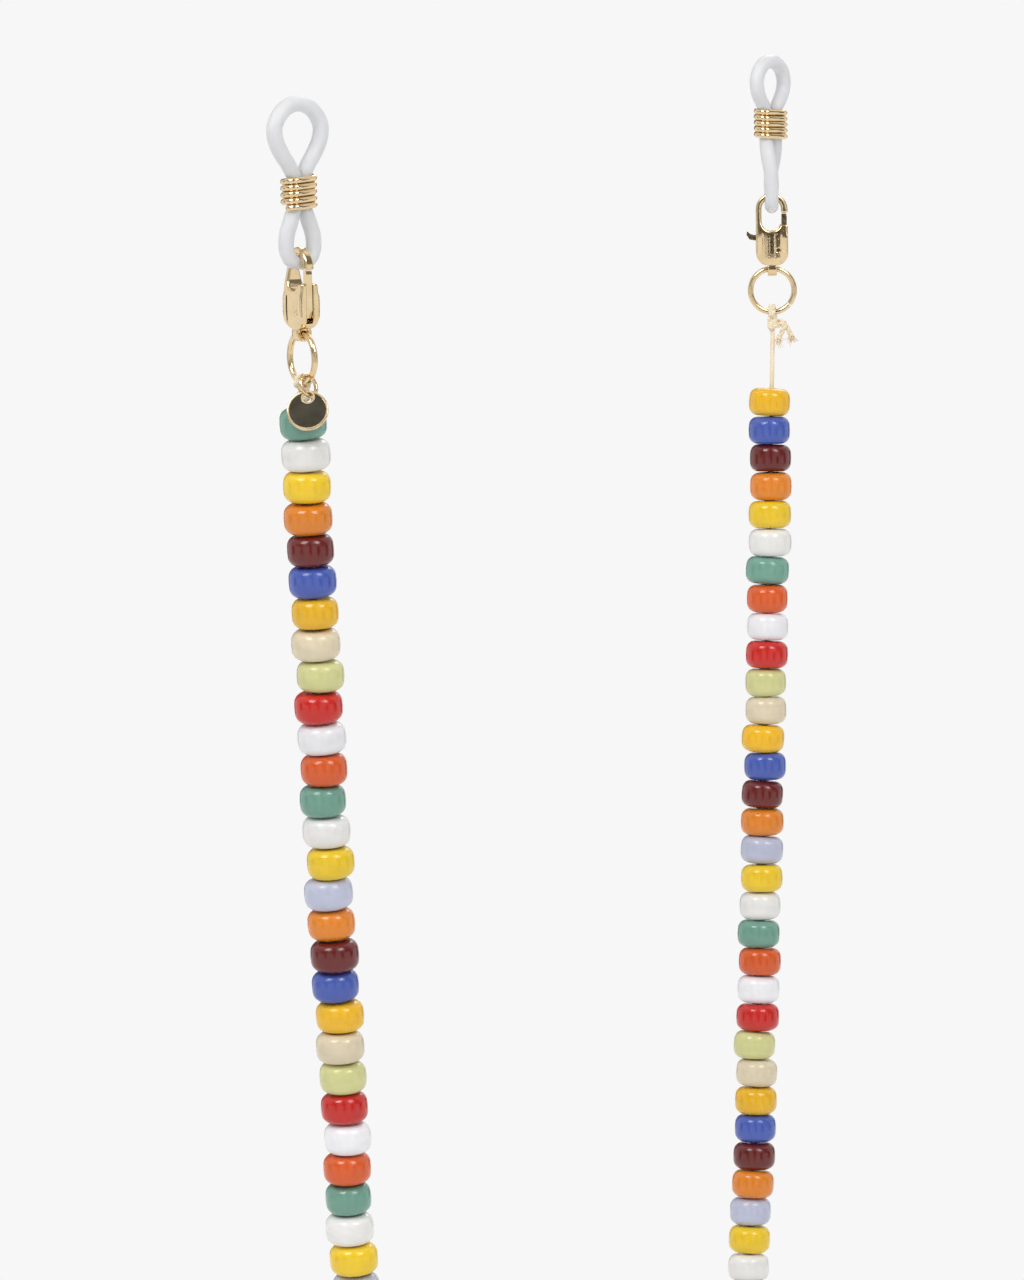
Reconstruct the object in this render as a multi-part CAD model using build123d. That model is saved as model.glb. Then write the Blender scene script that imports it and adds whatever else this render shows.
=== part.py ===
from build123d import *
import math
import os
import random

# ---------------------------------------------------------------- driving sizes (mm)
TEMPLE_GAP = 130.0          # between the two temples, near loop to far loop
CORD_D = 2.0                # silicone cord of the temple loops
THREAD_D = 0.65             # thread the beads hang on
BEAD_D = 6.3                # glass barrel bead
BEAD_LONG = 4.05
BEAD_HOLE = 1.4
BEAD_GAP = 0.10             # free play between neighbours on the thread
CLASP_W = 4.7               # lobster clasp
CLASP_T = 2.6
RING_OD = 7.25              # jump ring
RING_WIRE = 0.83
COIL_WIRE = 0.82            # wound slider
COIL_TURNS = 4.5
COIL_PITCH = 0.85
TAG_D = 5.4                 # round blank tag

# Heights over the bottom of the lower loops (the swing axis of the clasps), before the
# whole part is moved so that the near loop's opening is the origin.
NEAR_COIL_Z = 9.2           # middle of each wound slider
FAR_COIL_Z = 12.3
NEAR_TOP_Z = 20.55          # cord centre at the top of each loop
FAR_TOP_Z = 21.4
NEAR_WIDTHS = (4.65, 2.4)   # half widths of upper and lower loop, at the bends' corners
FAR_WIDTHS = (3.85, 2.2)
ORIGIN_Z = 16.6
EYE_Z = -8.95               # eye at the foot of each clasp
RING_Z = -12.17             # middle of each jump ring
THREAD_Z = -18.05           # where the thread leaves its knots
FIRST_BEAD = 0.55           # knot to first bead, near end
HANG_A = 18.32              # catenary parameter: the radius at the bottom of the U

# Headings: degrees from +Y towards +X
NEAR_HEADS = (14.0, 10.0, 20.0)     # plane of upper loop, slider, lower loop
FAR_HEADS = (8.0, 23.0, -30.0)
NEAR_CLASP_HEAD = 118.0             # way the gate faces
FAR_CLASP_HEAD = 60.0

CYCLE = ["teal", "pearl", "yellow", "lavender", "orange", "maroon", "blue",
         "amber", "peach", "lime", "red", "white", "orange_red"]
FIRST_CYCLE = [c for c in CYCLE if c != "lavender"]
ORDER = FIRST_CYCLE + CYCLE * 10 + FIRST_CYCLE[:7]

UP = Vector(0, 0, 1)
parts = {}


def heading(deg, z=0.0):
    """Unit vector at a heading, tipped up by nothing; z is added on."""
    return Vector(math.sin(math.radians(deg)), math.cos(math.radians(deg)), z)


def torus_arc(wire, mean_r, gap_deg):
    """A ring of round wire in the XZ plane, cut open by gap_deg at its +X side."""
    profile = Plane.XZ * Pos(mean_r, 0, 0) * Circle(wire / 2)
    ring = revolve(profile, Axis.Z, 360.0 - gap_deg)
    return Rot(90, 0, 0) * Rot(0, 0, gap_deg / 2) * ring


def tube(points, d, tangents=None):
    """A round tube along a smooth line through the points."""
    line = Spline(*points, tangents=tangents) if tangents else Spline(*points)
    return sweep(Plane(origin=line @ 0, z_dir=line % 0) * Circle(d / 2), path=line)


def bent_line(points, shares):
    """Straight runs joined by tangent arcs that use a share of each corner's shorter run."""
    radii = []
    for a, b, c, share in zip(points, points[1:], points[2:], shares):
        turn = math.radians((b - a).get_angle(c - b))
        short = min((b - a).length, (c - b).length)
        radii.append(share * short / math.tan(turn / 2))
    return FilletPolyline(*points, radius=radii), radii


# ---------------------------------------------------------------- silicone temple loop
def silicone_loop(y, coil_z, top_z, heads, wide, low):
    """A ring of silicone cord nipped into an upper and a lower loop by the slider."""
    half_coil = COIL_TURNS * COIL_PITCH / 2
    hi, lo = coil_z + half_coil, coil_z - half_coil
    up_h = top_z - hi
    neck = CORD_D / 2 + 0.01
    # height, distance from the middle plane, heading and corner share, down one side
    side = [
        (top_z, 0.62 * wide, heads[0], 0.49),
        (top_z - 0.55 * up_h, wide, heads[0], 0.49),
        (hi + 1.5, neck, heads[1], 0.24),
        (lo - 0.95, neck, heads[1], 0.24),
        (0.40 * lo, low, heads[2], 0.49),
        (0.0, 0.64 * low, heads[2], 0.49),
    ]
    halves = []
    for sign in (1, -1):
        pts = [Vector(0, y, top_z)]
        pts += [heading(h) * (sign * c) + Vector(0, y, z) for z, c, h, share in side]
        pts.append(Vector(0, y, 0))
        line, radii = bent_line(pts, [station[3] for station in side])
        start = Plane(origin=line @ 0, z_dir=line % 0)
        halves.append(sweep(start * Circle(CORD_D / 2), path=line))
        length = Wire(line.edges()).length
    print(f"silicone cord at y {y:.0f}: {2 * length:.1f} mm long")
    return halves[0] + halves[1]


def coil_slider(y, coil_z, head):
    """Close-wound wire slider, flattened so the two cord strands lie side by side."""
    pts = []
    per_turn = 24
    around = (CORD_D + COIL_WIRE) / 2 + 0.08
    for i in range(round(COIL_TURNS * per_turn) + 1):
        t = 2 * math.pi * i / per_turn
        strand = (CORD_D / 2 + 0.01) * math.tanh(2.6 * math.cos(t)) / math.tanh(2.6)
        across = strand + around * math.cos(t)
        thick = around * math.sin(t)
        z = coil_z + COIL_PITCH * (i / per_turn - COIL_TURNS / 2)
        pts.append(heading(head) * across + heading(head + 90) * thick + Vector(0, y, z))
    return tube(pts, COIL_WIRE)


# ---------------------------------------------------------------- lobster clasp
# Drawn with the gate towards +X, the broad face towards -Y and the cord at the origin.
PIN = (0.9, -6.2)           # lever pin, across and up


def clasp_body():
    half_w, half_t = CLASP_W / 2, CLASP_T / 2
    outline = Pos(0, -3.4, 0) * Rectangle(CLASP_W, 6.36)
    outline += Pos(0, -0.22, 0) * Circle(half_w)
    outline += Pos(0, -6.58, 0) * RectangleRounded(CLASP_W, 3.75, 1.8)
    window = Pos(-0.065, -1.06, 0) * Rot(0, 0, 90) * SlotOverall(4.68, 2.87)
    gate_gap = Pos(2.0, -1.63, 0) * Rectangle(1.5, 1.72)
    right = Spline((0.56, 2.3), (0.62, 0.9), (0.80, -0.9), (half_t - 0.06, -2.9),
                   (half_t, -4.2), (half_t - 0.02, -6.6), (0.95, -9.0))
    left = mirror(right, Plane.YZ)
    side = Curve() + [right, left, Line(right @ 1, left @ 1), Line(right @ 0, left @ 0)]
    front = extrude(Plane.XZ * (outline - window - gate_gap), half_t + 1, both=True)
    edge_on = extrude(Plane.YZ * make_face(side), half_w + 1, both=True)
    body = front & edge_on
    body = fillet(body.edges(), 0.28)
    eye = Plane.YZ * Pos(0, EYE_Z, 0) * Circle(1.1)
    body += extrude(eye, 0.65, both=True)
    # the lever's slot, open to the gate side, with the tab's way out on the other side
    cavity = Polyline((3.0, -1.5), (3.0, -7.6), (0.2, -7.8), (-1.5, -7.2), (-1.5, -6.5),
                      (-3.0, -6.5), (-3.0, -3.3), (0.0, -3.1), (1.2, -1.5), close=True)
    body -= extrude(Plane.XZ * make_face(cavity), 0.5, both=True)
    body -= extrude(Plane.YZ * Pos(0, EYE_Z, 0) * Circle(0.62), 3, both=True)
    body -= extrude(Plane.XZ * Pos(*PIN, 0) * Circle(0.31), 3, both=True)
    return body


def clasp_trigger():
    """One flat lever: the gate arm, the foot on the pin and the thumb tab."""
    arm = Polyline((1.42, -0.87), (2.12, -0.87), (2.2, -1.3), (2.2, -6.0), (1.7, -7.0),
                   (0.6, -7.05), (0.15, -6.3), (0.3, -5.3), (-1.4, -4.85), (-2.5, -4.75),
                   (-3.3, -4.6), (-3.75, -3.9), (-3.65, -3.35), (-3.25, -3.75),
                   (-2.7, -3.95), (-1.4, -4.0), (0.7, -4.1), (1.4, -3.4), close=True)
    lever = extrude(Plane.XZ * make_face(arm), 0.43, both=True)
    corners = lever.edges().filter_by(Axis.Y)
    lever = fillet(corners, 0.09)
    return lever - extrude(Plane.XZ * Pos(*PIN, 0) * Circle(0.34), 3, both=True)


def clasp_pin():
    return extrude(Plane.XZ * Pos(*PIN, 0) * Circle(0.30), CLASP_T / 2 - 0.02, both=True)


def clasp_spring():
    height = 1.85
    line = Helix(pitch=height / 6, height=height, radius=0.33)
    wire = sweep(Plane(origin=line @ 0, z_dir=line % 0) * Circle(0.07), path=line)
    return Pos(-0.85, 0, -7.15) * wire


def on_loop(y, head, solid):
    """Hang something drawn in the clasp's own directions on a lower loop."""
    return Plane(origin=(0, y, 0), x_dir=heading(head), z_dir=UP) * solid


def jump_ring():
    ring = torus_arc(RING_WIRE, (RING_OD - RING_WIRE) / 2, 3.0)
    return Pos(0, 0, RING_Z) * Rot(0, 40, 0) * ring


# ---------------------------------------------------------------- thread ties
def thread_knot(tails):
    """Two turns round the jump ring's wire, a knot under them, and the cut tails."""
    ring_foot = RING_Z - (RING_OD - RING_WIRE) / 2
    knot = Pos(0, 0, -17.2) * Cylinder(0.42, 1.3)
    for x in (-0.33, 0.33):
        turn = Torus(RING_WIRE / 2 + 0.36, 0.31)
        knot += Pos(x, 0, ring_foot) * Rot(0, 90, 0) * turn
    for z, lean in ((-16.95, 10), (-17.45, -12)):
        knot += Pos(0, 0, z) * Rot(lean, lean, 0) * Torus(0.5, 0.3)
    for tail in tails:
        knot += tube(tail, 0.6)
    return knot


# ---------------------------------------------------------------- hanging thread
def hang_point(s):
    """Point on the hanging U, s along it from its lowest point towards +Y."""
    x = HANG_A * math.asinh(s / HANG_A)
    z = math.hypot(s, HANG_A)
    return x, z


def half_length():
    """Length from the lowest point to either tie, from half the span."""
    return HANG_A * math.sinh(TEMPLE_GAP / 2 / HANG_A)


HALF = half_length()
TOP = hang_point(HALF)[1]
STATIONS = [9.0, 24.0, 46.0, 80.0, 125.0, 175.0, 226.0, 274.0, HALF]


def thread_points():
    marks = [-s for s in reversed(STATIONS)] + STATIONS
    pts = []
    for s in marks:
        x, z = hang_point(s)
        pts.append(Vector(0, TEMPLE_GAP / 2 + x, THREAD_Z + z - TOP))
    return pts


def thread_line():
    pts = thread_points()
    line, radii = bent_line(pts, [0.45] * len(pts))
    print("thread radii mm:", [round(r, 1) for r in radii])
    return line


# ---------------------------------------------------------------- beads
def bead(d, long):
    r, h = BEAD_HOLE / 2, d / 2
    profile = Pos((r + h) / 2, 0, 0) * Rectangle(h - r, long)
    corners = profile.vertices()
    outer = corners.filter_by(lambda v: v.X > (r + h) / 2)
    inner = corners.filter_by(lambda v: v.X < (r + h) / 2)
    profile = fillet(outer, 1.3)
    inner = profile.vertices().group_by(Axis.X)[0]
    profile = fillet(inner, 0.18)
    return revolve(Plane.XZ * profile, Axis.Z)


def beads(line):
    rng = random.Random(7)
    wire = Wire(line.edges())
    total = wire.length
    groups = {c: [] for c in CYCLE}
    shapes = [bead(BEAD_D + dd, BEAD_LONG) for dd in (-0.12, 0.0, 0.1)]
    flat = 1.95
    at = FIRST_BEAD + BEAD_LONG / 2
    for colour in ORDER:
        where = wire.position_at(at, position_mode=PositionMode.LENGTH)
        way = wire.tangent_at(at, position_mode=PositionMode.LENGTH)
        off = rng.uniform(0, 2 * math.pi)
        side = Vector(1, 0, 0)
        other = way.cross(side)
        shift = side * (math.cos(off) * 0.17) + other * (math.sin(off) * 0.17)
        tip = side * rng.uniform(-0.018, 0.018) + other * rng.uniform(-0.018, 0.018)
        plane = Plane(origin=where + shift, x_dir=side, z_dir=(way + tip).normalized())
        groups[colour].append(plane * rng.choice(shapes))
        ahead = min(at + BEAD_LONG, total)
        turn = way.get_angle(wire.tangent_at(ahead, position_mode=PositionMode.LENGTH))
        at += BEAD_LONG + BEAD_GAP + 2 * flat * math.tan(math.radians(turn) / 2)
    print(f"thread {total:.1f} mm, bare at the far end {total - at + BEAD_LONG / 2:.1f} mm")
    return groups


# ---------------------------------------------------------------- tag on the near ring
TAG_RING_R = 1.42
TAG_WIRE = 0.52
TAG_T = 0.55
RING_SIDE = 28.0            # how far round the jump ring from its foot the tag hangs


def compass(az, down=0.0):
    """Unit vector pointing at azimuth az (from +X) and down by an angle."""
    a, d = math.radians(az), math.radians(down)
    return Vector(math.cos(a) * math.cos(d), math.sin(a) * math.cos(d), -math.sin(d))


def tag():
    mean = (RING_OD - RING_WIRE) / 2
    side = math.radians(RING_SIDE)
    out = heading(NEAR_CLASP_HEAD)
    foot = out * (mean * math.sin(side)) + UP * (RING_Z - mean * math.cos(side))
    down = compass(-62, 58)
    rise = (RING_WIRE + TAG_WIRE) / 2 + 0.03
    across = compass(-98)
    across = (across - down * across.dot(down)).normalized()
    centre = foot + down * (TAG_RING_R - rise)
    ring_plane = Plane(origin=centre, x_dir=across, z_dir=across.cross(down))
    ring = ring_plane * revolve(Plane.XZ * Pos(TAG_RING_R, 0, 0) * Circle(TAG_WIRE / 2), Axis.Z)
    bottom = foot + down * (2 * TAG_RING_R - rise)
    hole_r = 0.70
    hang = compass(-64, 64)
    hole = bottom + hang * (hole_r - TAG_WIRE / 2 - 0.08)
    to_hole = TAG_D / 2 - 0.95
    face_way = compass(-64, -26)
    disc_plane = Plane(origin=hole + hang * to_hole, x_dir=face_way.cross(hang) * -1,
                       z_dir=face_way)
    plate = Cylinder(TAG_D / 2, TAG_T)
    plate = fillet(plate.edges(), 0.12)
    at_hole = disc_plane.to_local_coords(hole)
    collar = Pos(at_hole.X, at_hole.Y, TAG_T / 2) * Cylinder(0.9, 0.5)
    recess = Pos(0, 0, TAG_T / 2) * Cylinder(TAG_D / 2 - 0.28, 0.24) - collar
    drill = Pos(at_hole.X, at_hole.Y, 0) * Cylinder(hole_r, 3)
    disc = plate - recess - drill
    inlay = Pos(0, 0, TAG_T / 2 - 0.07) * Cylinder(TAG_D / 2 - 0.30, 0.08)
    inlay -= Pos(at_hole.X, at_hole.Y, 0) * Cylinder(0.92, 3)
    print("tag ring pivot", foot, "tag pivot", bottom)
    return ring, disc_plane * disc, disc_plane * inlay


# ---------------------------------------------------------------- assembly
ENDS = {
    "near": (0.0, NEAR_COIL_Z, NEAR_TOP_Z, NEAR_HEADS, NEAR_WIDTHS, NEAR_CLASP_HEAD),
    "far": (TEMPLE_GAP, FAR_COIL_Z, FAR_TOP_Z, FAR_HEADS, FAR_WIDTHS, FAR_CLASP_HEAD),
}
TAILS = {
    "near": [[(-0.3, 0.2, -17.1), (-0.8, 1.3, -16.8), (-1.5, 2.4, -17.4)],
             [(0.2, 0.3, -17.3), (0.3, 1.5, -17.2), (-0.2, 2.9, -18.0)]],
    "far": [[(0.2, 0, -17.1), (1.1, -0.2, -16.8), (1.5, -0.3, -18.2), (1.0, -0.4, -19.8)],
            [(0.2, 0.1, -17.2), (1.2, 0.2, -17.1), (2.1, 0.2, -18.2), (2.9, 0.1, -19.6)]],
}

for end, (y, coil_z, top_z, heads, widths, clasp_head) in ENDS.items():
    parts[f"{end}_silicone_loop"] = silicone_loop(y, coil_z, top_z, heads, *widths)
    parts[f"{end}_coil_slider"] = coil_slider(y, coil_z, heads[1])
    parts[f"{end}_clasp_body"] = on_loop(y, clasp_head, clasp_body())
    parts[f"{end}_clasp_trigger"] = on_loop(y, clasp_head, clasp_trigger())
    parts[f"{end}_clasp_pin"] = on_loop(y, clasp_head, clasp_pin())
    parts[f"{end}_clasp_spring"] = on_loop(y, clasp_head, clasp_spring())
    parts[f"{end}_jump_ring"] = on_loop(y, clasp_head, jump_ring())
    parts[f"{end}_thread_knot"] = on_loop(y, clasp_head, thread_knot(TAILS[end]))

parts["tag_ring"], parts["tag_disc"], parts["tag_face"] = tag()

line = thread_line()
parts["thread"] = sweep(Plane(origin=line @ 0, z_dir=line % 0) * Circle(THREAD_D / 2), path=line)
exact = math.pi * THREAD_D ** 2 / 4 * Wire(line.edges()).length
print(f"thread volume {parts['thread'].volume:.2f} of {exact:.2f} mm3")
for colour, group in beads(line).items():
    parts[f"beads_{colour}"] = Compound(children=group)

os.makedirs("parts", exist_ok=True)
for name, shape in parts.items():
    moved = Pos(0, 0, -ORIGIN_Z) * shape
    export_step(moved, f"parts/{name}.step")
    solids = moved.solids()
    box = moved.bounding_box()
    print(f"{name}: {len(solids)} solids, valid {moved.is_valid}, "
          f"size {box.size.X:.2f} {box.size.Y:.2f} {box.size.Z:.2f}, volume {moved.volume:.2f}")
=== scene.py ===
import math
import random

import bmesh
import bpy
from mathutils import Matrix, Vector


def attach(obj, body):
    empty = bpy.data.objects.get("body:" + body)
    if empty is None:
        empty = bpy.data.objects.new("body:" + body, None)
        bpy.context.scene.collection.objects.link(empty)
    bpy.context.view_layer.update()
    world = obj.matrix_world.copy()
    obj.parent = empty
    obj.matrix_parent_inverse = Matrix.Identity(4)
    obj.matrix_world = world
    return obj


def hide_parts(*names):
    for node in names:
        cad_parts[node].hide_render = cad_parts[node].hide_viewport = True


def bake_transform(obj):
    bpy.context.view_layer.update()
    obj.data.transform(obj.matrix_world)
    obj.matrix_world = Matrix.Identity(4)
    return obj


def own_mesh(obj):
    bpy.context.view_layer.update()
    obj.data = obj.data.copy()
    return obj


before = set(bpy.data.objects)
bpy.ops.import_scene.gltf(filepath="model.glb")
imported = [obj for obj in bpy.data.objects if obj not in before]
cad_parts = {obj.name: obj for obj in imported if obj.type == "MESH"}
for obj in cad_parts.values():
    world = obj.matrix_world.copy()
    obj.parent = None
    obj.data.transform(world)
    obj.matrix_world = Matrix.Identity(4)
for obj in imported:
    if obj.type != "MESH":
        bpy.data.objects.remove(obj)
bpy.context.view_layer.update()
MM = 0.001
ORIGIN_Z = 16.6             # frame height of design height 0, where the cord lies in a clasp
TEMPLE_GAP = 130.0          # between the two temple loops
NEAR_TURN, FAR_TURN = 118.0, 60.0           # headings of the two clasps
NEAR_COIL_TURN, FAR_COIL_TURN = 10.0, 23.0  # headings of the two sliders


def at(x, y, z):
    """A point of the frame, in metres, from design millimetres."""
    return Vector((x, y, z - ORIGIN_Z)) * MM


def heading(deg):
    """Level direction, deg degrees from the line between the temple loops."""
    return Vector((math.sin(math.radians(deg)), math.cos(math.radians(deg)), 0.0))


# ------------------------------------------------------------------ materials
def new_material(name):
    m = bpy.data.materials.new(name)
    m.use_nodes = True
    nodes, links = m.node_tree.nodes, m.node_tree.links
    shader = nodes["Principled BSDF"]
    coord = nodes.new("ShaderNodeTexCoord")
    return m, nodes, links, shader, coord


def noise(nodes, links, coord, scale, detail=3.0, rough=0.5, stretch=None):
    n = nodes.new("ShaderNodeTexNoise")
    n.inputs["Scale"].default_value = scale
    n.inputs["Detail"].default_value = detail
    n.inputs["Roughness"].default_value = rough
    if stretch:
        mapping = nodes.new("ShaderNodeMapping")
        mapping.inputs["Scale"].default_value = stretch
        links.new(coord.outputs["Object"], mapping.inputs["Vector"])
        links.new(mapping.outputs["Vector"], n.inputs["Vector"])
    else:
        links.new(coord.outputs["Object"], n.inputs["Vector"])
    return n


def ramp(nodes, links, source, low, high, c0, c1):
    r = nodes.new("ShaderNodeValToRGB")
    r.color_ramp.elements[0].position = low
    r.color_ramp.elements[1].position = high
    r.color_ramp.elements[0].color = (*c0, 1.0)
    r.color_ramp.elements[1].color = (*c1, 1.0)
    links.new(source, r.inputs["Fac"])
    return r


def to_range(nodes, links, source, low, high):
    r = nodes.new("ShaderNodeMapRange")
    r.inputs["From Min"].default_value = 0.3
    r.inputs["From Max"].default_value = 0.7
    r.inputs["To Min"].default_value = low
    r.inputs["To Max"].default_value = high
    links.new(source, r.inputs["Value"])
    return r


def add_bump(nodes, links, shader, source, strength, distance):
    b = nodes.new("ShaderNodeBump")
    b.inputs["Strength"].default_value = strength
    b.inputs["Distance"].default_value = distance
    links.new(source, b.inputs["Height"])
    links.new(b.outputs["Normal"], shader.inputs["Normal"])
    return b


def metal(name, dark, light, rough, bump):
    m, nodes, links, shader, coord = new_material(name)
    shader.inputs["Metallic"].default_value = 1.0
    wear = noise(nodes, links, coord, 700.0, 4.0)
    tone = ramp(nodes, links, wear.outputs["Fac"], 0.3, 0.7, dark, light)
    links.new(tone.outputs["Color"], shader.inputs["Base Color"])
    fine = noise(nodes, links, coord, 2600.0, 3.0)
    r = to_range(nodes, links, fine.outputs["Fac"], rough[0], rough[1])
    links.new(r.outputs["Result"], shader.inputs["Roughness"])
    soft = noise(nodes, links, coord, 420.0, 2.0)
    add_bump(nodes, links, shader, soft.outputs["Fac"], bump, 0.0002)
    return m


def silicone_material():
    m, nodes, links, shader, coord = new_material("silicone_milky")
    shader.inputs["Subsurface Weight"].default_value = 0.55
    shader.inputs["Subsurface Radius"].default_value = (1.0, 0.95, 0.9)
    shader.inputs["Subsurface Scale"].default_value = 0.0016
    shader.inputs["Transmission Weight"].default_value = 0.22
    shader.inputs["IOR"].default_value = 1.41
    cloud = noise(nodes, links, coord, 260.0, 4.0, 0.6)
    tone = ramp(nodes, links, cloud.outputs["Fac"], 0.25, 0.75, (0.76, 0.76, 0.77),
                (0.84, 0.85, 0.87))
    links.new(tone.outputs["Color"], shader.inputs["Base Color"])
    skin = noise(nodes, links, coord, 1500.0, 3.0)
    r = to_range(nodes, links, skin.outputs["Fac"], 0.30, 0.46)
    links.new(r.outputs["Result"], shader.inputs["Roughness"])
    add_bump(nodes, links, shader, skin.outputs["Fac"], 0.06, 0.0001)
    return m


def thread_material():
    m, nodes, links, shader, coord = new_material("thread_cream")
    shader.inputs["Sheen Weight"].default_value = 0.35
    shader.inputs["Sheen Roughness"].default_value = 0.5
    fibre = noise(nodes, links, coord, 2400.0, 2.0, 0.5, (1.0, 1.0, 0.22))
    tone = ramp(nodes, links, fibre.outputs["Fac"], 0.25, 0.75, (0.78, 0.64, 0.44),
                (0.90, 0.79, 0.60))
    links.new(tone.outputs["Color"], shader.inputs["Base Color"])
    r = to_range(nodes, links, fibre.outputs["Fac"], 0.65, 0.85)
    links.new(r.outputs["Result"], shader.inputs["Roughness"])
    add_bump(nodes, links, shader, fibre.outputs["Fac"], 0.25, 0.00006)
    return m


def bead_material(name, colour):
    m, nodes, links, shader, coord = new_material("glass_" + name)
    shader.inputs["Coat Weight"].default_value = 0.20
    shader.inputs["Coat Roughness"].default_value = 0.12
    shader.inputs["Subsurface Weight"].default_value = 0.40
    shader.inputs["Subsurface Radius"].default_value = (1.0, 1.0, 1.0)
    shader.inputs["Subsurface Scale"].default_value = 0.0014
    shader.inputs["IOR"].default_value = 1.5
    deep = tuple(c * 0.95 for c in colour)
    pale = tuple(min(1.0, c * 1.04 + 0.002) for c in colour)
    swirl = noise(nodes, links, coord, 330.0, 3.0, 0.55, (1.0, 1.0, 2.4))
    tone = ramp(nodes, links, swirl.outputs["Fac"], 0.3, 0.7, deep, pale)
    each = nodes.new("ShaderNodeAttribute")
    each.attribute_name = "tone"
    mix = nodes.new("ShaderNodeMix")
    mix.data_type = "RGBA"
    mix.blend_type = "MULTIPLY"
    mix.inputs["Factor"].default_value = 1.0
    links.new(tone.outputs["Color"], mix.inputs["A"])
    links.new(each.outputs["Color"], mix.inputs["B"])
    links.new(mix.outputs["Result"], shader.inputs["Base Color"])
    fine = noise(nodes, links, coord, 1200.0, 2.0)
    r = to_range(nodes, links, fine.outputs["Fac"], 0.16, 0.25)
    links.new(r.outputs["Result"], shader.inputs["Roughness"])
    wave = noise(nodes, links, coord, 300.0, 2.0)
    add_bump(nodes, links, shader, wave.outputs["Fac"], 0.04, 0.0004)
    return m


def enamel_material():
    m, nodes, links, shader, coord = new_material("tag_mirror_enamel")
    shader.inputs["Specular IOR Level"].default_value = 0.20
    shader.inputs["Coat Weight"].default_value = 0.10
    shader.inputs["Coat Roughness"].default_value = 0.08
    cloud = noise(nodes, links, coord, 500.0, 3.0)
    tone = ramp(nodes, links, cloud.outputs["Fac"], 0.2, 0.8, (0.036, 0.029, 0.016),
                (0.054, 0.045, 0.026))
    links.new(tone.outputs["Color"], shader.inputs["Base Color"])
    r = to_range(nodes, links, cloud.outputs["Fac"], 0.16, 0.26)
    links.new(r.outputs["Result"], shader.inputs["Roughness"])
    return m


GOLD = metal("gold_plate", (0.78, 0.59, 0.34), (0.86, 0.68, 0.42), (0.10, 0.16), 0.010)
STEEL = metal("spring_wire", (0.45, 0.38, 0.25), (0.62, 0.54, 0.38), (0.22, 0.34), 0.03)
SILICONE = silicone_material()
THREAD = thread_material()
ENAMEL = enamel_material()
BEADS = {
    "teal": (0.161, 0.342, 0.268),
    "pearl": (0.816, 0.804, 0.775),
    "yellow": (0.834, 0.571, 0.014),
    "lavender": (0.496, 0.519, 0.647),
    "orange": (0.722, 0.227, 0.014),
    "maroon": (0.134, 0.009, 0.007),
    "blue": (0.063, 0.110, 0.434),
    "amber": (0.804, 0.460, 0.009),
    "peach": (0.713, 0.622, 0.443),
    "lime": (0.647, 0.638, 0.289),
    "red": (0.553, 0.014, 0.008),
    "white": (0.822, 0.816, 0.839),
    "orange_red": (0.670, 0.103, 0.012),
}
BEAD_MATERIALS = {name: bead_material(name, c) for name, c in BEADS.items()}


# ------------------------------------------------------------------ mesh helpers
def finish_mesh(name, bm, material, body, nodes):
    mesh = bpy.data.meshes.new(name)
    bmesh.ops.recalc_face_normals(bm, faces=bm.faces)
    bm.to_mesh(mesh)
    bm.free()
    mesh.polygons.foreach_set("use_smooth", [True] * len(mesh.polygons))
    obj = bpy.data.objects.new(name, mesh)
    bpy.context.scene.collection.objects.link(obj)
    obj.data.materials.append(material)
    if body:
        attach(obj, body)
    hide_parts(*nodes)
    return obj


def through(points, per):
    """Catmull-Rom line through given points; each may carry extra numbers."""
    n = len(points)
    out = []
    for i in range(n - 1):
        p0 = points[max(i - 1, 0)]
        p1, p2 = points[i], points[i + 1]
        p3 = points[min(i + 2, n - 1)]
        for s in range(per):
            t = s / per
            out.append([0.5 * (2 * b + (c - a) * t + (2 * a - 5 * b + 4 * c - d) * t * t
                               + (3 * b - a - 3 * c + d) * t ** 3)
                        for a, b, c, d in zip(p0, p1, p2, p3)])
    out.append(list(points[-1]))
    return out


def tube(bm, line, ra, rb=None, ref=None, sides=16):
    """Capped tube of round or oval section along points; ra lies across ref, rb along it."""
    n = len(line)
    ra = ra if isinstance(ra, list) else [ra] * n
    rb = ra if rb is None else (rb if isinstance(rb, list) else [rb] * n)
    rings = []
    across = None
    for i, p in enumerate(line):
        way = (line[min(i + 1, n - 1)] - line[max(i - 1, 0)]).normalized()
        if ref is not None:
            r = ref[i] if isinstance(ref, list) else ref
            across = way.cross(r).normalized()
        elif across is None:
            across = way.orthogonal().normalized()
        else:
            across = (across - way * across.dot(way)).normalized()
        other = way.cross(across).normalized()
        ring = []
        for k in range(sides):
            t = 2 * math.pi * k / sides
            v = across * (math.cos(t) * ra[i]) + other * (math.sin(t) * rb[i])
            ring.append(bm.verts.new(p + v))
        rings.append(ring)
    for a, b in zip(rings, rings[1:]):
        for k in range(sides):
            bm.faces.new((a[k], a[(k + 1) % sides], b[(k + 1) % sides], b[k]))
    for ring in (rings[0], rings[-1]):
        middle = bm.verts.new(sum((v.co for v in ring), Vector()) / sides)
        for k in range(sides):
            bm.faces.new((ring[k], ring[(k + 1) % sides], middle))


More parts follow.
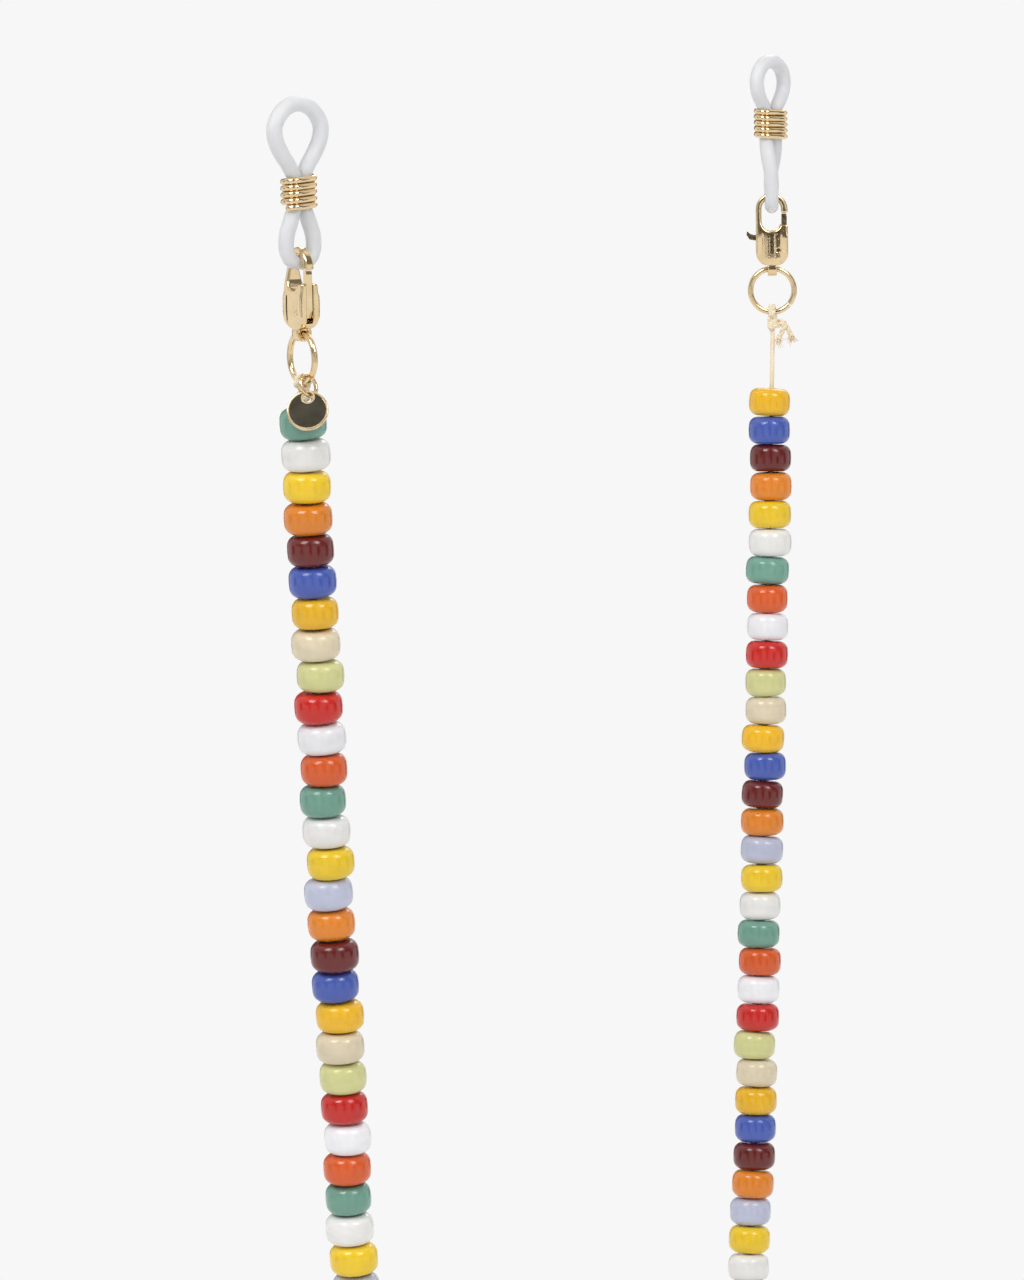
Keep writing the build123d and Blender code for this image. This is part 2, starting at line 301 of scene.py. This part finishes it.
# ------------------------------------------------------------------ silicone loops
# height, distance from the middle, share of the way to the slider's heading,
# half width and half thickness of the squeezed cord
NEAR_UPPER = [(9.2, 0.90, 1.0, 0.86, 0.97), (10.5, 0.90, 1.0, 0.86, 0.97),
              (11.5, 1.05, 0.8, 0.93, 1.0), (12.8, 1.85, 0.35, 1.02, 1.02),
              (14.3, 3.00, 0.0, 1.04, 1.04), (15.9, 3.90, 0.0, 1.04, 1.04),
              (17.5, 4.10, 0.0, 1.04, 1.04), (18.95, 3.35, 0.0, 1.04, 1.04),
              (20.08, 1.95, 0.0, 1.04, 1.04), (20.55, 0.0, 0.0, 1.04, 1.04)]
NEAR_LOWER = [(9.2, 0.90, 1.0, 0.86, 0.97), (7.9, 0.90, 1.0, 0.86, 0.97),
              (6.9, 1.05, 0.8, 0.94, 1.0), (5.4, 1.55, 0.3, 1.02, 1.02),
              (3.8, 2.08, 0.0, 1.02, 1.02), (2.5, 2.24, 0.0, 1.01, 1.01),
              (1.5, 2.10, 0.0, 0.98, 0.98), (0.70, 1.70, 0.0, 0.96, 0.97),
              (0.24, 0.95, 0.0, 0.95, 0.96), (0.16, 0.0, 0.0, 0.95, 0.95)]
FAR_UPPER = [(12.3, 0.90, 1.0, 0.86, 0.97), (13.6, 0.90, 1.0, 0.86, 0.97),
             (14.6, 1.10, 0.8, 0.93, 1.0), (15.8, 2.10, 0.35, 1.02, 1.02),
             (17.2, 3.15, 0.0, 1.04, 1.04), (18.7, 3.35, 0.0, 1.04, 1.04),
             (20.3, 2.60, 0.0, 1.04, 1.04), (21.2, 1.30, 0.0, 1.04, 1.04),
             (21.4, 0.0, 0.0, 1.04, 1.04)]
FAR_LOWER = [(12.3, 0.90, 1.0, 0.86, 0.97), (11.0, 0.90, 1.0, 0.86, 0.97),
             (10.0, 1.02, 0.8, 0.96, 1.04), (8.2, 1.34, 0.45, 1.04, 1.08),
             (5.8, 1.84, 0.1, 1.03, 1.06), (3.7, 2.16, 0.0, 1.0, 1.02),
             (2.0, 2.14, 0.0, 0.96, 0.98), (0.85, 1.76, 0.0, 0.95, 0.97),
             (0.24, 0.98, 0.0, 0.95, 0.96), (0.16, 0.0, 0.0, 0.95, 0.95)]


def silicone(name, y, stations, head, coil_head, node):
    """One loop of cord, from the slider out along one side and back along the other."""
    rows = []
    for sign, group in ((1, stations), (-1, list(reversed(stations))[1:])):
        for z, c, share, a, b in group:
            rows.append((z, sign * c, head + (coil_head - head) * share, a, b))
    line, wide, thick, flats = [], [], [], []
    for z, c, h, a, b in through(rows, 10):
        line.append(at(0, y, z) + heading(h) * (c * MM))
        wide.append(a * MM)
        thick.append(b * MM)
        flats.append(heading(h + 90))
    bm = bmesh.new()
    tube(bm, line, wide, thick, flats, sides=28)
    obj = finish_mesh(name, bm, SILICONE, None, [node])
    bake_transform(obj)


silicone("near_loop_upper", 0.0, NEAR_UPPER, 14.0, NEAR_COIL_TURN, "near_silicone_loop")
silicone("near_loop_lower", 0.0, NEAR_LOWER, 20.0, NEAR_COIL_TURN, "near_silicone_loop")
silicone("far_loop_upper", TEMPLE_GAP, FAR_UPPER, 8.0, FAR_COIL_TURN, "far_silicone_loop")
silicone("far_loop_lower", TEMPLE_GAP, FAR_LOWER, -30.0, FAR_COIL_TURN, "far_silicone_loop")


# ------------------------------------------------------------------ wound sliders
def slider(name, y, coil_z, head, start, turn, body, node, seed):
    """Close-wound wire, pinched between the two cord strands, with plain cut ends."""
    rng = random.Random(seed)
    lift = [rng.uniform(-0.03, 0.03) for i in range(10)]
    turns, pitch, wire_r, per = 4.6, 0.86, 0.42, 56
    line = []
    for i in range(round(turns * per) + 1):
        t = start + turn * 2 * math.pi * i / per
        strand = 0.9 * math.tanh(2.2 * math.cos(t)) / math.tanh(2.2)
        pinch = 1.0 - 0.11 * math.sin(t) ** 6
        across = strand + 1.37 * math.cos(t)
        thick = 1.46 * math.sin(t) * pinch
        wobble = lift[int(2 * i / per) % 10] * math.sin(t) ** 2
        z = coil_z + pitch * (i / per - turns / 2) + wobble
        line.append(at(0, y, z) + (heading(head) * across + heading(head + 90) * thick) * MM)
    radii = [wire_r * MM] * len(line)
    for k in range(2):
        radii[k] *= 0.80 + 0.1 * k
        radii[-1 - k] *= 0.80 + 0.1 * k
    bm = bmesh.new()
    tube(bm, line, radii, ref=Vector((0, 0, 1)))
    finish_mesh(name, bm, GOLD, body, [node])


slider("near_slider_wire", 0.0, NEAR_LOWER[0][0], NEAR_COIL_TURN, math.pi, -1,
       "near_slider", "near_coil_slider", 3)
slider("far_slider_wire", TEMPLE_GAP, FAR_LOWER[0][0], FAR_COIL_TURN, 0.0, 1,
       "far_slider", "far_coil_slider", 5)


# ------------------------------------------------------------------ thread
THREAD_Z = -18.05           # height of the thread's two ends
THREAD_LONG, THREAD_R = 0.633, 0.325
HANG_A = 18.32              # the catenary's own length
HALF = HANG_A * math.sinh(TEMPLE_GAP / 2 / HANG_A)
# run along the thread from its lowest point
STATIONS = [9.0, 24.0, 46.0, 80.0, 125.0, 175.0, 226.0, 274.0, HALF]


def hang_point(s):
    """Across and up on the catenary, s millimetres from its lowest point."""
    return HANG_A * math.asinh(s / HANG_A), math.hypot(s, HANG_A)


def thread_curve():
    """Makes the thread and returns the points of its middle line."""
    top = hang_point(HALF)[1]
    route = []
    for s in [-s for s in reversed(STATIONS)] + STATIONS:
        x, z = hang_point(s)
        route.append(at(0, TEMPLE_GAP / 2 + x, THREAD_Z + z - top))
    data = bpy.data.curves.new("thread_line", "CURVE")
    data.dimensions = "3D"
    spline = data.splines.new("NURBS")
    spline.points.add(len(route) - 1)
    for p, q in zip(spline.points, route):
        p.co = (*q, 1.0)
    spline.order_u = 3
    spline.use_endpoint_u = True
    spline.resolution_u = 24
    obj = bpy.data.objects.new("thread_line", data)
    bpy.context.scene.collection.objects.link(obj)
    bare = bpy.data.meshes.new_from_object(obj)
    points = [v.co.copy() for v in bare.vertices]
    bpy.data.meshes.remove(bare)
    data.bevel_depth = THREAD_R * MM
    data.bevel_resolution = 4
    data.materials.append(THREAD)
    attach(obj, "strand")
    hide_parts("thread")
    return points


ROUTE = thread_curve()
MARKS = [0.0]
for a, b in zip(ROUTE, ROUTE[1:]):
    MARKS.append(MARKS[-1] + (b - a).length)


def along(s):
    """Point and direction on the thread, s metres from its near end."""
    s = max(0.0, min(s, MARKS[-1] - 1e-7))
    low, high = 0, len(MARKS) - 1
    while high - low > 1:
        mid = (low + high) // 2
        if MARKS[mid] <= s:
            low = mid
        else:
            high = mid
    f = (s - MARKS[low]) / (MARKS[high] - MARKS[low])
    before = ROUTE[max(low - 1, 0)]
    after = ROUTE[min(high + 1, len(ROUTE) - 1)]
    here = (ROUTE[high] - ROUTE[low]).normalized()
    way = (ROUTE[low] - before) if low > 0 else ROUTE[high] - ROUTE[low]
    ahead = (after - ROUTE[high]) if high < len(ROUTE) - 1 else ROUTE[high] - ROUTE[low]
    way = way.normalized() * (1 - f) * 0.5 + here + ahead.normalized() * f * 0.5
    return ROUTE[low].lerp(ROUTE[high], f), way.normalized()


# ------------------------------------------------------------------ beads
CYCLE = ["teal", "pearl", "yellow", "lavender", "orange", "maroon", "blue",
         "amber", "peach", "lime", "red", "white", "orange_red"]
FIRST_CYCLE = [c for c in CYCLE if c != "lavender"]
ORDER = FIRST_CYCLE + CYCLE * 10 + FIRST_CYCLE[:7]
BEAD_R, BEAD_LONG, BEAD_GAP = 3.15, 4.05, 0.10
BEAD_FLAT = 1.95            # radius of a bead's flat end
FIRST_BEAD = 0.55           # bare thread above the first bead


def bead_profile():
    """Half section from hole to hole: rim, slightly dished end, round corner, full side."""
    h, r, corner = BEAD_LONG / 2, BEAD_R, 1.32
    pts = [(0.66, 0.0), (0.66, h - 0.30), (0.72, h - 0.12), (0.90, h - 0.02), (1.25, h),
           (1.62, h - 0.005)]
    for k in range(7):
        t = math.radians(8 + 76 * k / 6)
        pts.append((r - 0.04 - corner + corner * math.sin(t), h - corner + corner * math.cos(t)))
    pts.append((r - 0.015, 0.36))
    lower = [(x, -z) for x, z in reversed(pts[1:])]
    return pts[1:] + [(r, 0.0)] + lower


PROFILE = bead_profile()


def add_bead(bm, tones, centre, way, rng):
    """One bead, with the small faults of pressed glass."""
    sides = 32
    side = Vector((1, 0, 0))
    tip = Vector([rng.uniform(-0.035, 0.035) for k in range(3)])
    way = (way + tip).normalized()
    side = (side - way * side.dot(way)).normalized()
    other = way.cross(side)
    spin = rng.uniform(0, 2 * math.pi)
    fat = rng.uniform(0.965, 1.025)
    oval = rng.uniform(-0.012, 0.012)
    short = rng.uniform(0.975, 1.0)
    wedge = rng.uniform(-0.03, 0.03)
    tone = rng.uniform(0.93, 1.04)
    rings = []
    for r, z in PROFILE:
        ring = []
        for k in range(sides):
            t = 2 * math.pi * k / sides
            swell = fat * (1 + oval * math.cos(2 * (t + spin)))
            lean = 1 + wedge * math.cos(t + spin) * (r / BEAD_R)
            v = side * (math.cos(t) * r * swell) + other * (math.sin(t) * r * swell)
            v = v + way * (z * short * lean)
            ring.append(bm.verts.new(centre + v * MM))
        rings.append(ring)
    first = rings[0]
    for a, b in zip(rings, rings[1:] + [first]):
        for k in range(sides):
            bm.faces.new((a[k], b[k], b[(k + 1) % sides], a[(k + 1) % sides]))
    tones.extend([tone] * (sides * len(rings)))


def string_beads():
    rng = random.Random(11)
    meshes = {c: (bmesh.new(), []) for c in CYCLE}
    s = FIRST_BEAD + BEAD_LONG / 2
    for colour in ORDER:
        here, way = along(s * MM)
        ahead = along((s + BEAD_LONG) * MM)[1]
        angle = rng.uniform(0, 2 * math.pi)
        shift = Vector((math.cos(angle), math.sin(angle), 0.0)) * (rng.uniform(0.06, 0.33) * MM)
        bm, tones = meshes[colour]
        add_bead(bm, tones, here + shift, way, rng)
        s += BEAD_LONG + BEAD_GAP + 2 * BEAD_FLAT * math.tan(way.angle(ahead) / 2)
    print("bare thread at the far end, mm:", round(MARKS[-1] / MM - s + BEAD_LONG / 2, 2))
    for colour, (bm, tones) in meshes.items():
        obj = finish_mesh("glass_beads_" + colour, bm, BEAD_MATERIALS[colour], "strand",
                          ["beads_" + colour])
        layer = obj.data.color_attributes.new("tone", "FLOAT_COLOR", "POINT")
        for item, tone in zip(layer.data, tones):
            item.color = (tone, tone, tone, 1.0)


string_beads()


# ------------------------------------------------------------------ thread ties
def ply(bm, line, twist=1.7, radius=0.23, apart=0.17):
    """Two fine strands laid round each other along a line in metres."""
    for phase in (0.0, math.pi):
        across = None
        strand = []
        run = 0.0
        for i, p in enumerate(line):
            a, b = line[max(i - 1, 0)], line[min(i + 1, len(line) - 1)]
            way = (b - a).normalized()
            if across is None:
                across = way.orthogonal().normalized()
            else:
                across = (across - way * across.dot(way)).normalized()
                run += (p - line[i - 1]).length / MM
            other = way.cross(across)
            t = phase + run * 2 * math.pi / twist
            strand.append(p + (across * math.cos(t) + other * math.sin(t)) * (apart * MM))
        tube(bm, strand, radius * MM, sides=10)


def fray(bm, start, way, rng, count=34, long=1.5):
    """Loose fibres fanning out from a cut end."""
    for _ in range(count):
        spread = Vector([rng.uniform(-1, 1) for k in range(3)]) * 0.42
        bend = Vector([rng.uniform(-1, 1) for k in range(3)]) * 0.25
        run = long * rng.uniform(0.6, 1.0) * MM
        root = start + Vector([rng.uniform(-0.12, 0.12) for k in range(3)]) * MM
        pts = [root, root + (way + spread * 0.5) * run * 0.5,
               root + (way + spread + bend) * run]
        line = [Vector(p) for p in through([tuple(p) for p in pts], 5)]
        tube(bm, line, [0.06 * MM * (1 - 0.4 * k / len(line)) for k in range(len(line))],
             sides=5)


def tie(name, y, head, paths, ends, node, seed):
    """Wraps, knot and frayed tails of one end of the thread."""
    frame_x, up = heading(head), Vector((0, 0, 1))
    frame_y = up.cross(frame_x)

    def place(p):
        return at(0, y, 0) + (frame_x * p[0] + frame_y * p[1] + up * p[2]) * MM

    rng = random.Random(seed)
    bm = bmesh.new()
    for path in paths:
        ply(bm, [place(p) for p in through(path, 10)])
    for p, way, long in ends:
        direction = (frame_x * way[0] + frame_y * way[1] + up * way[2]).normalized()
        fray(bm, place(p), direction, rng, long=long)
    finish_mesh(name, bm, THREAD, "strand", [node])


RING_WIRE = -15.30          # height of the jump ring's wire where the thread is tied


def round_wire(x0, x1, turns, start, radius=0.80, steps=10):
    """Turns of thread round the jump ring's wire, which runs along x here."""
    pts = []
    n = round(turns * steps)
    for i in range(n + 1):
        t = math.radians(start) + 2 * math.pi * turns * i / n
        pts.append((x0 + (x1 - x0) * i / n, radius * math.sin(t),
                    RING_WIRE + radius * math.cos(t)))
    return pts


def round_knot(z0, z1, turns, start, radius, steps, lean):
    """Turns of thread round the strap's own line, the knot's body."""
    pts = []
    n = round(turns * steps)
    for i in range(n + 1):
        t = math.radians(start) + 2 * math.pi * turns * i / n
        x, y = radius * math.cos(t), radius * math.sin(t)
        pts.append((x, y, z0 + (z1 - z0) * i / n + lean * x))
    return pts


FAR_PATHS = [
    [(-0.12, -0.1, -18.1), (-0.3, -0.2, -17.2), (-0.42, -0.5, -16.4)]
    + round_wire(-0.40, 0.30, 2.0, 200) + [(0.30, -0.45, -16.3), (0.25, -0.25, -16.9)],
    round_knot(-16.75, -17.55, 2.4, 150, 0.50, 9, 0.25)
    + [(0.9, -0.25, -17.25), (1.35, -0.35, -16.75), (1.62, -0.4, -17.4), (1.2, -0.45, -18.6),
       (0.75, -0.5, -19.2)],
    [(0.1, 0.2, -17.4), (0.8, 0.1, -16.9), (1.5, 0.0, -16.8), (2.0, -0.05, -17.5),
     (2.5, -0.1, -18.5), (2.75, -0.1, -18.9)],
]
FAR_ENDS = [((0.80, -0.5, -18.9), (-0.18, -0.1, -1.0), 1.2),
            ((0.85, -0.5, -18.7), (0.15, 0.1, -1.0), 1.3),
            ((2.68, -0.1, -18.6), (0.35, 0.0, -1.0), 1.2),
            ((2.60, -0.1, -18.5), (-0.05, -0.1, -1.0), 1.3)]
NEAR_PATHS = [
    [(-0.05, 0.05, -18.1), (-0.2, 0.1, -17.3), (-0.42, 0.4, -16.4)]
    + round_wire(-0.40, 0.30, 2.0, 160) + [(0.30, 0.45, -16.3), (0.2, 0.25, -16.9)],
    round_knot(-16.75, -17.55, 2.4, 30, 0.50, 9, -0.2)
    + [(-0.6, 0.5, -17.2), (-0.9, 1.2, -16.9), (-1.3, 1.9, -17.2)],
    [(0.1, 0.3, -17.4), (0.2, 1.0, -17.0), (0.2, 1.7, -17.2), (0.0, 2.3, -17.6)],
]
NEAR_ENDS = [((-1.25, 1.8, -17.15), (-0.6, 0.6, -0.5), 1.0),
             ((0.0, 2.2, -17.5), (-0.2, 0.8, -0.5), 1.0)]
tie("far_thread_tie", TEMPLE_GAP, FAR_TURN, FAR_PATHS, FAR_ENDS, "far_thread_knot", 21)
tie("near_thread_tie", 0.0, NEAR_TURN, NEAR_PATHS, NEAR_ENDS, "near_thread_knot", 22)


# ------------------------------------------------------------------ cast clasp bodies
CLASP_HALF = 1.30           # half thickness of the casting
SLOT_CHEEK = 0.62           # the lever's slot and its walls, left as they are
UNDER_WINDOW, OVER_FOOT = -3.50, -8.45      # heights between which the facets run
# distance from the face's middle line, how far the face stands out
FACETS = [(0.0, 0.04), (0.40, 0.04), (0.56, -0.03), (1.30, -0.05), (1.46, -0.12), (2.0, -0.17),
          (2.35, -0.28), (9.0, -0.28)]


def facet_height(w):
    """How far a cast face stands out or in, w millimetres from its middle line."""
    for (w0, h0), (w1, h1) in zip(FACETS, FACETS[1:]):
        if w <= w1:
            f = (w - w0) / (w1 - w0)
            return h0 + (h1 - h0) * f * f * (3 - 2 * f)
    return FACETS[-1][1]


def casting(end, y, turn):
    """The clasp body with the long facets of the real casting, between the window and the foot.
    """
    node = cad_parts[f"{end}_clasp_body"]
    bm = bmesh.new()
    bm.from_mesh(node.data)
    bm.transform(node.matrix_world)
    bmesh.ops.remove_doubles(bm, verts=bm.verts, dist=1e-7)
    bmesh.ops.triangulate(bm, faces=bm.faces)
    for longest in (1.6, 0.8, 0.4, 0.26, 0.26):
        edges = [e for e in bm.edges if e.calc_length() > longest * MM]
        bmesh.ops.subdivide_edges(bm, edges=edges, cuts=1)
        bmesh.ops.triangulate(bm, faces=bm.faces)
    across = heading(turn)
    thick = Vector((0, 0, 1)).cross(across)
    middle = at(0, y, 0)
    for v in bm.verts:
        p = (v.co - middle) / MM
        t = p.dot(thick)
        if abs(t) <= SLOT_CHEEK:
            continue
        below = min(1.0, max(0.0, (UNDER_WINDOW - p.z) / 0.80))
        foot = min(1.0, max(0.0, (p.z - OVER_FOOT) / 0.60))
        rise = facet_height(abs(p.dot(across))) * below * foot
        share = (abs(t) - SLOT_CHEEK) / (CLASP_HALF - SLOT_CHEEK)
        v.co += thick * (math.copysign(rise * share, t) * MM)
    obj = finish_mesh(f"{end}_clasp_casting", bm, GOLD, f"{end}_clasp", [f"{end}_clasp_body"])
    obj.data.set_sharp_from_angle(angle=math.radians(38))


def spring(end, y, turn):
    """The lever's spring, drawn as a fixed coil; the lever's tail presses it down as the clasp
    opens.
    """
    bm = bmesh.new()
    foot, height, turns, per = -7.15, 1.85, 6, 18
    off_middle, coil_r, wire_r = -0.85, 0.33, 0.07
    line = []
    for i in range(turns * per + 1):
        t = 2 * math.pi * i / per
        across = heading(turn) * (off_middle + coil_r * math.cos(t))
        deep = heading(turn - 90) * (coil_r * math.sin(t))
        line.append(at(0, y, foot + height * i / (turns * per)) + (across + deep) * MM)
    tube(bm, line, wire_r * MM, ref=Vector((0, 0, 1)), sides=8)
    obj = finish_mesh(f"{end}_clasp_coil_spring", bm, STEEL, f"{end}_clasp",
                      [f"{end}_clasp_spring"])
    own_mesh(obj)


for end, y, turn in (("near", 0.0, NEAR_TURN), ("far", TEMPLE_GAP, FAR_TURN)):
    casting(end, y, turn)
    spring(end, y, turn)


# ------------------------------------------------------------------ carried-over nodes
def dress(node, material):
    """Gives a CAD node that is kept as it is its material."""
    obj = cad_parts[node]
    obj.data.materials.clear()
    obj.data.materials.append(material)


for end in ("near", "far"):
    for part in ("clasp_trigger", "clasp_pin", "jump_ring"):
        dress(f"{end}_{part}", GOLD)
dress("tag_ring", GOLD)
dress("tag_disc", GOLD)
dress("tag_face", ENAMEL)


# ------------------------------------------------------------------ studio
def floor():
    mesh = bpy.data.meshes.new("studio_floor")
    half, z = 30.0, -0.42
    corners = [(-half, -half, z), (half, -half, z), (half, half, z), (-half, half, z)]
    mesh.from_pydata(corners, [], [(0, 1, 2, 3)])
    obj = bpy.data.objects.new("studio_floor", mesh)
    bpy.context.scene.collection.objects.link(obj)
    m = bpy.data.materials.new("studio_floor_pale")
    m.use_nodes = True
    nodes, links = m.node_tree.nodes, m.node_tree.links
    nodes.clear()
    out = nodes.new("ShaderNodeOutputMaterial")
    glow = nodes.new("ShaderNodeEmission")
    glow.inputs["Color"].default_value = (0.93, 0.93, 0.93, 1.0)
    glow.inputs["Strength"].default_value = 1.0
    links.new(glow.outputs["Emission"], out.inputs["Surface"])
    mesh.materials.append(m)


floor()


def card(angle, width, low=-0.40, high=0.16, distance=1.45):
    """A dark upright board outside the picture, for the metal to reflect."""
    a = math.radians(angle)
    middle = MIDDLE + Vector((math.cos(a), math.sin(a), 0.0)) * distance
    side = Vector((-math.sin(a), math.cos(a), 0.0)) * (math.radians(width) * distance / 2)
    corners = [middle - side, middle + side]
    mesh = bpy.data.meshes.new(f"studio_card_{angle}")
    mesh.from_pydata([(c.x, c.y, z) for z in (low, high) for c in corners], [], [(0, 1, 3, 2)])
    mesh.materials.append(CARD)
    obj = bpy.data.objects.new(f"studio_card_{angle}", mesh)
    bpy.context.scene.collection.objects.link(obj)
    obj.visible_camera = False
    obj.visible_shadow = False


def area_light(name, azimuth, elevation, distance, size, power):
    data = bpy.data.lights.new(name, "AREA")
    data.shape = "RECTANGLE"
    data.size, data.size_y = size
    data.energy = power
    obj = bpy.data.objects.new(name, data)
    bpy.context.scene.collection.objects.link(obj)
    a, e = math.radians(azimuth), math.radians(elevation)
    away = Vector((math.sin(a) * math.cos(e), -math.cos(a) * math.cos(e), math.sin(e)))
    obj.location = MIDDLE + away * distance
    obj.rotation_euler = (-away).to_track_quat("-Z", "Y").to_euler()


MIDDLE = at(0, 65, -60)     # what the lights and cards stand round
CARD = bpy.data.materials.new("studio_card_dark")
CARD.use_nodes = True
board = CARD.node_tree.nodes["Principled BSDF"].inputs
board["Base Color"].default_value = (0.03, 0.028, 0.025, 1)
board["Roughness"].default_value = 0.9
for angle, width in ((-58, 10), (-100, 9), (-148, 16), (-20, 14), (28, 16), (80, 18), (150, 16)):
    card(angle, width)
area_light("key_window", -8, 46, 1.1, (0.42, 0.50), 4.6)
area_light("fill_window", 68, 42, 1.1, (0.36, 0.50), 3.4)
area_light("back_rim", 200, 35, 1.3, (0.7, 0.5), 2.6)

# a pale room: shade by height, and dark flags round the horizon for the metal to reflect
world = bpy.data.worlds.new("studio_world")
bpy.context.scene.world = world
world.use_nodes = True
wn, wl = world.node_tree.nodes, world.node_tree.links
coord = wn.new("ShaderNodeTexCoord")
split = wn.new("ShaderNodeSeparateXYZ")
wl.new(coord.outputs["Generated"], split.inputs["Vector"])
shade = wn.new("ShaderNodeValToRGB")
elements = shade.color_ramp.elements
elements[0].position, elements[0].color = 0.0, (0.93, 0.93, 0.93, 1)
elements[1].position, elements[1].color = 1.0, (0.95, 0.95, 0.95, 1)
for where, value in ((0.06, 0.93), (0.14, 0.86), (0.42, 0.66), (0.66, 0.86)):
    e = elements.new(where)
    e.color = (value, value, value * 1.01, 1)
wl.new(split.outputs["Z"], shade.inputs["Fac"])
flags = wn.new("ShaderNodeValToRGB")
flags.color_ramp.interpolation = "EASE"
strips = flags.color_ramp.elements
strips[0].position, strips[0].color = 0.0, (1, 1, 1, 1)
strips[1].position, strips[1].color = 1.0, (1, 1, 1, 1)
for where, value in ((0.12, 1.0), (0.17, 0.20), (0.22, 0.20), (0.26, 1.0), (0.29, 1.0),
                     (0.315, 0.16), (0.345, 0.16), (0.37, 1.0), (0.46, 1.0), (0.50, 0.25),
                     (0.56, 0.25), (0.60, 1.0), (0.80, 1.0), (0.85, 0.18), (0.92, 0.18),
                     (0.96, 1.0)):
    e = strips.new(where)
    e.color = (value, value, value, 1)
bearing = wn.new("ShaderNodeMath")
bearing.operation = "ARCTAN2"
wl.new(split.outputs["Y"], bearing.inputs[0])
wl.new(split.outputs["X"], bearing.inputs[1])
around = wn.new("ShaderNodeMapRange")
around.inputs["From Min"].default_value = -math.pi
around.inputs["From Max"].default_value = math.pi
wl.new(bearing.outputs["Value"], around.inputs["Value"])
wl.new(around.outputs["Result"], flags.inputs["Fac"])
lifted = wn.new("ShaderNodeMapRange")
lifted.interpolation_type = "SMOOTHSTEP"
lifted.inputs["From Min"].default_value = 0.05
lifted.inputs["From Max"].default_value = 0.12
wl.new(split.outputs["Z"], lifted.inputs["Value"])
flagged = wn.new("ShaderNodeMix")
flagged.data_type = "RGBA"
flagged.blend_type = "MULTIPLY"
wl.new(lifted.outputs["Result"], flagged.inputs["Factor"])
wl.new(shade.outputs["Color"], flagged.inputs["A"])
wl.new(flags.outputs["Color"], flagged.inputs["B"])
wl.new(flagged.outputs["Result"], wn["Background"].inputs["Color"])
wn["Background"].inputs["Strength"].default_value = 1.0

# ------------------------------------------------------------------ camera
cam = bpy.data.cameras.new("camera")
cam.sensor_fit = "VERTICAL"
cam.sensor_height = 36.0
cam.lens = 169.62
cam.clip_end = 100.0
camera = bpy.data.objects.new("camera", cam)
bpy.context.scene.collection.objects.link(camera)
eye = Vector((0.4149, -0.6565, 0.0326))
yaw, pitch, roll = (math.radians(v) for v in (30.34, 7.23, -0.92))
forward = Vector((-math.sin(yaw) * math.cos(pitch), math.cos(yaw) * math.cos(pitch),
                  -math.sin(pitch)))
right = Vector((math.cos(yaw), math.sin(yaw), 0.0))
up = right.cross(forward)
right, up = (right * math.cos(roll) + up * math.sin(roll),
             up * math.cos(roll) - right * math.sin(roll))
camera.matrix_world = Matrix((
    (right.x, up.x, -forward.x, eye.x),
    (right.y, up.y, -forward.y, eye.y),
    (right.z, up.z, -forward.z, eye.z),
    (0.0, 0.0, 0.0, 1.0)))
bpy.context.scene.camera = camera
bpy.context.scene.view_settings.view_transform = "Standard"
bpy.context.scene.view_settings.look = "None"
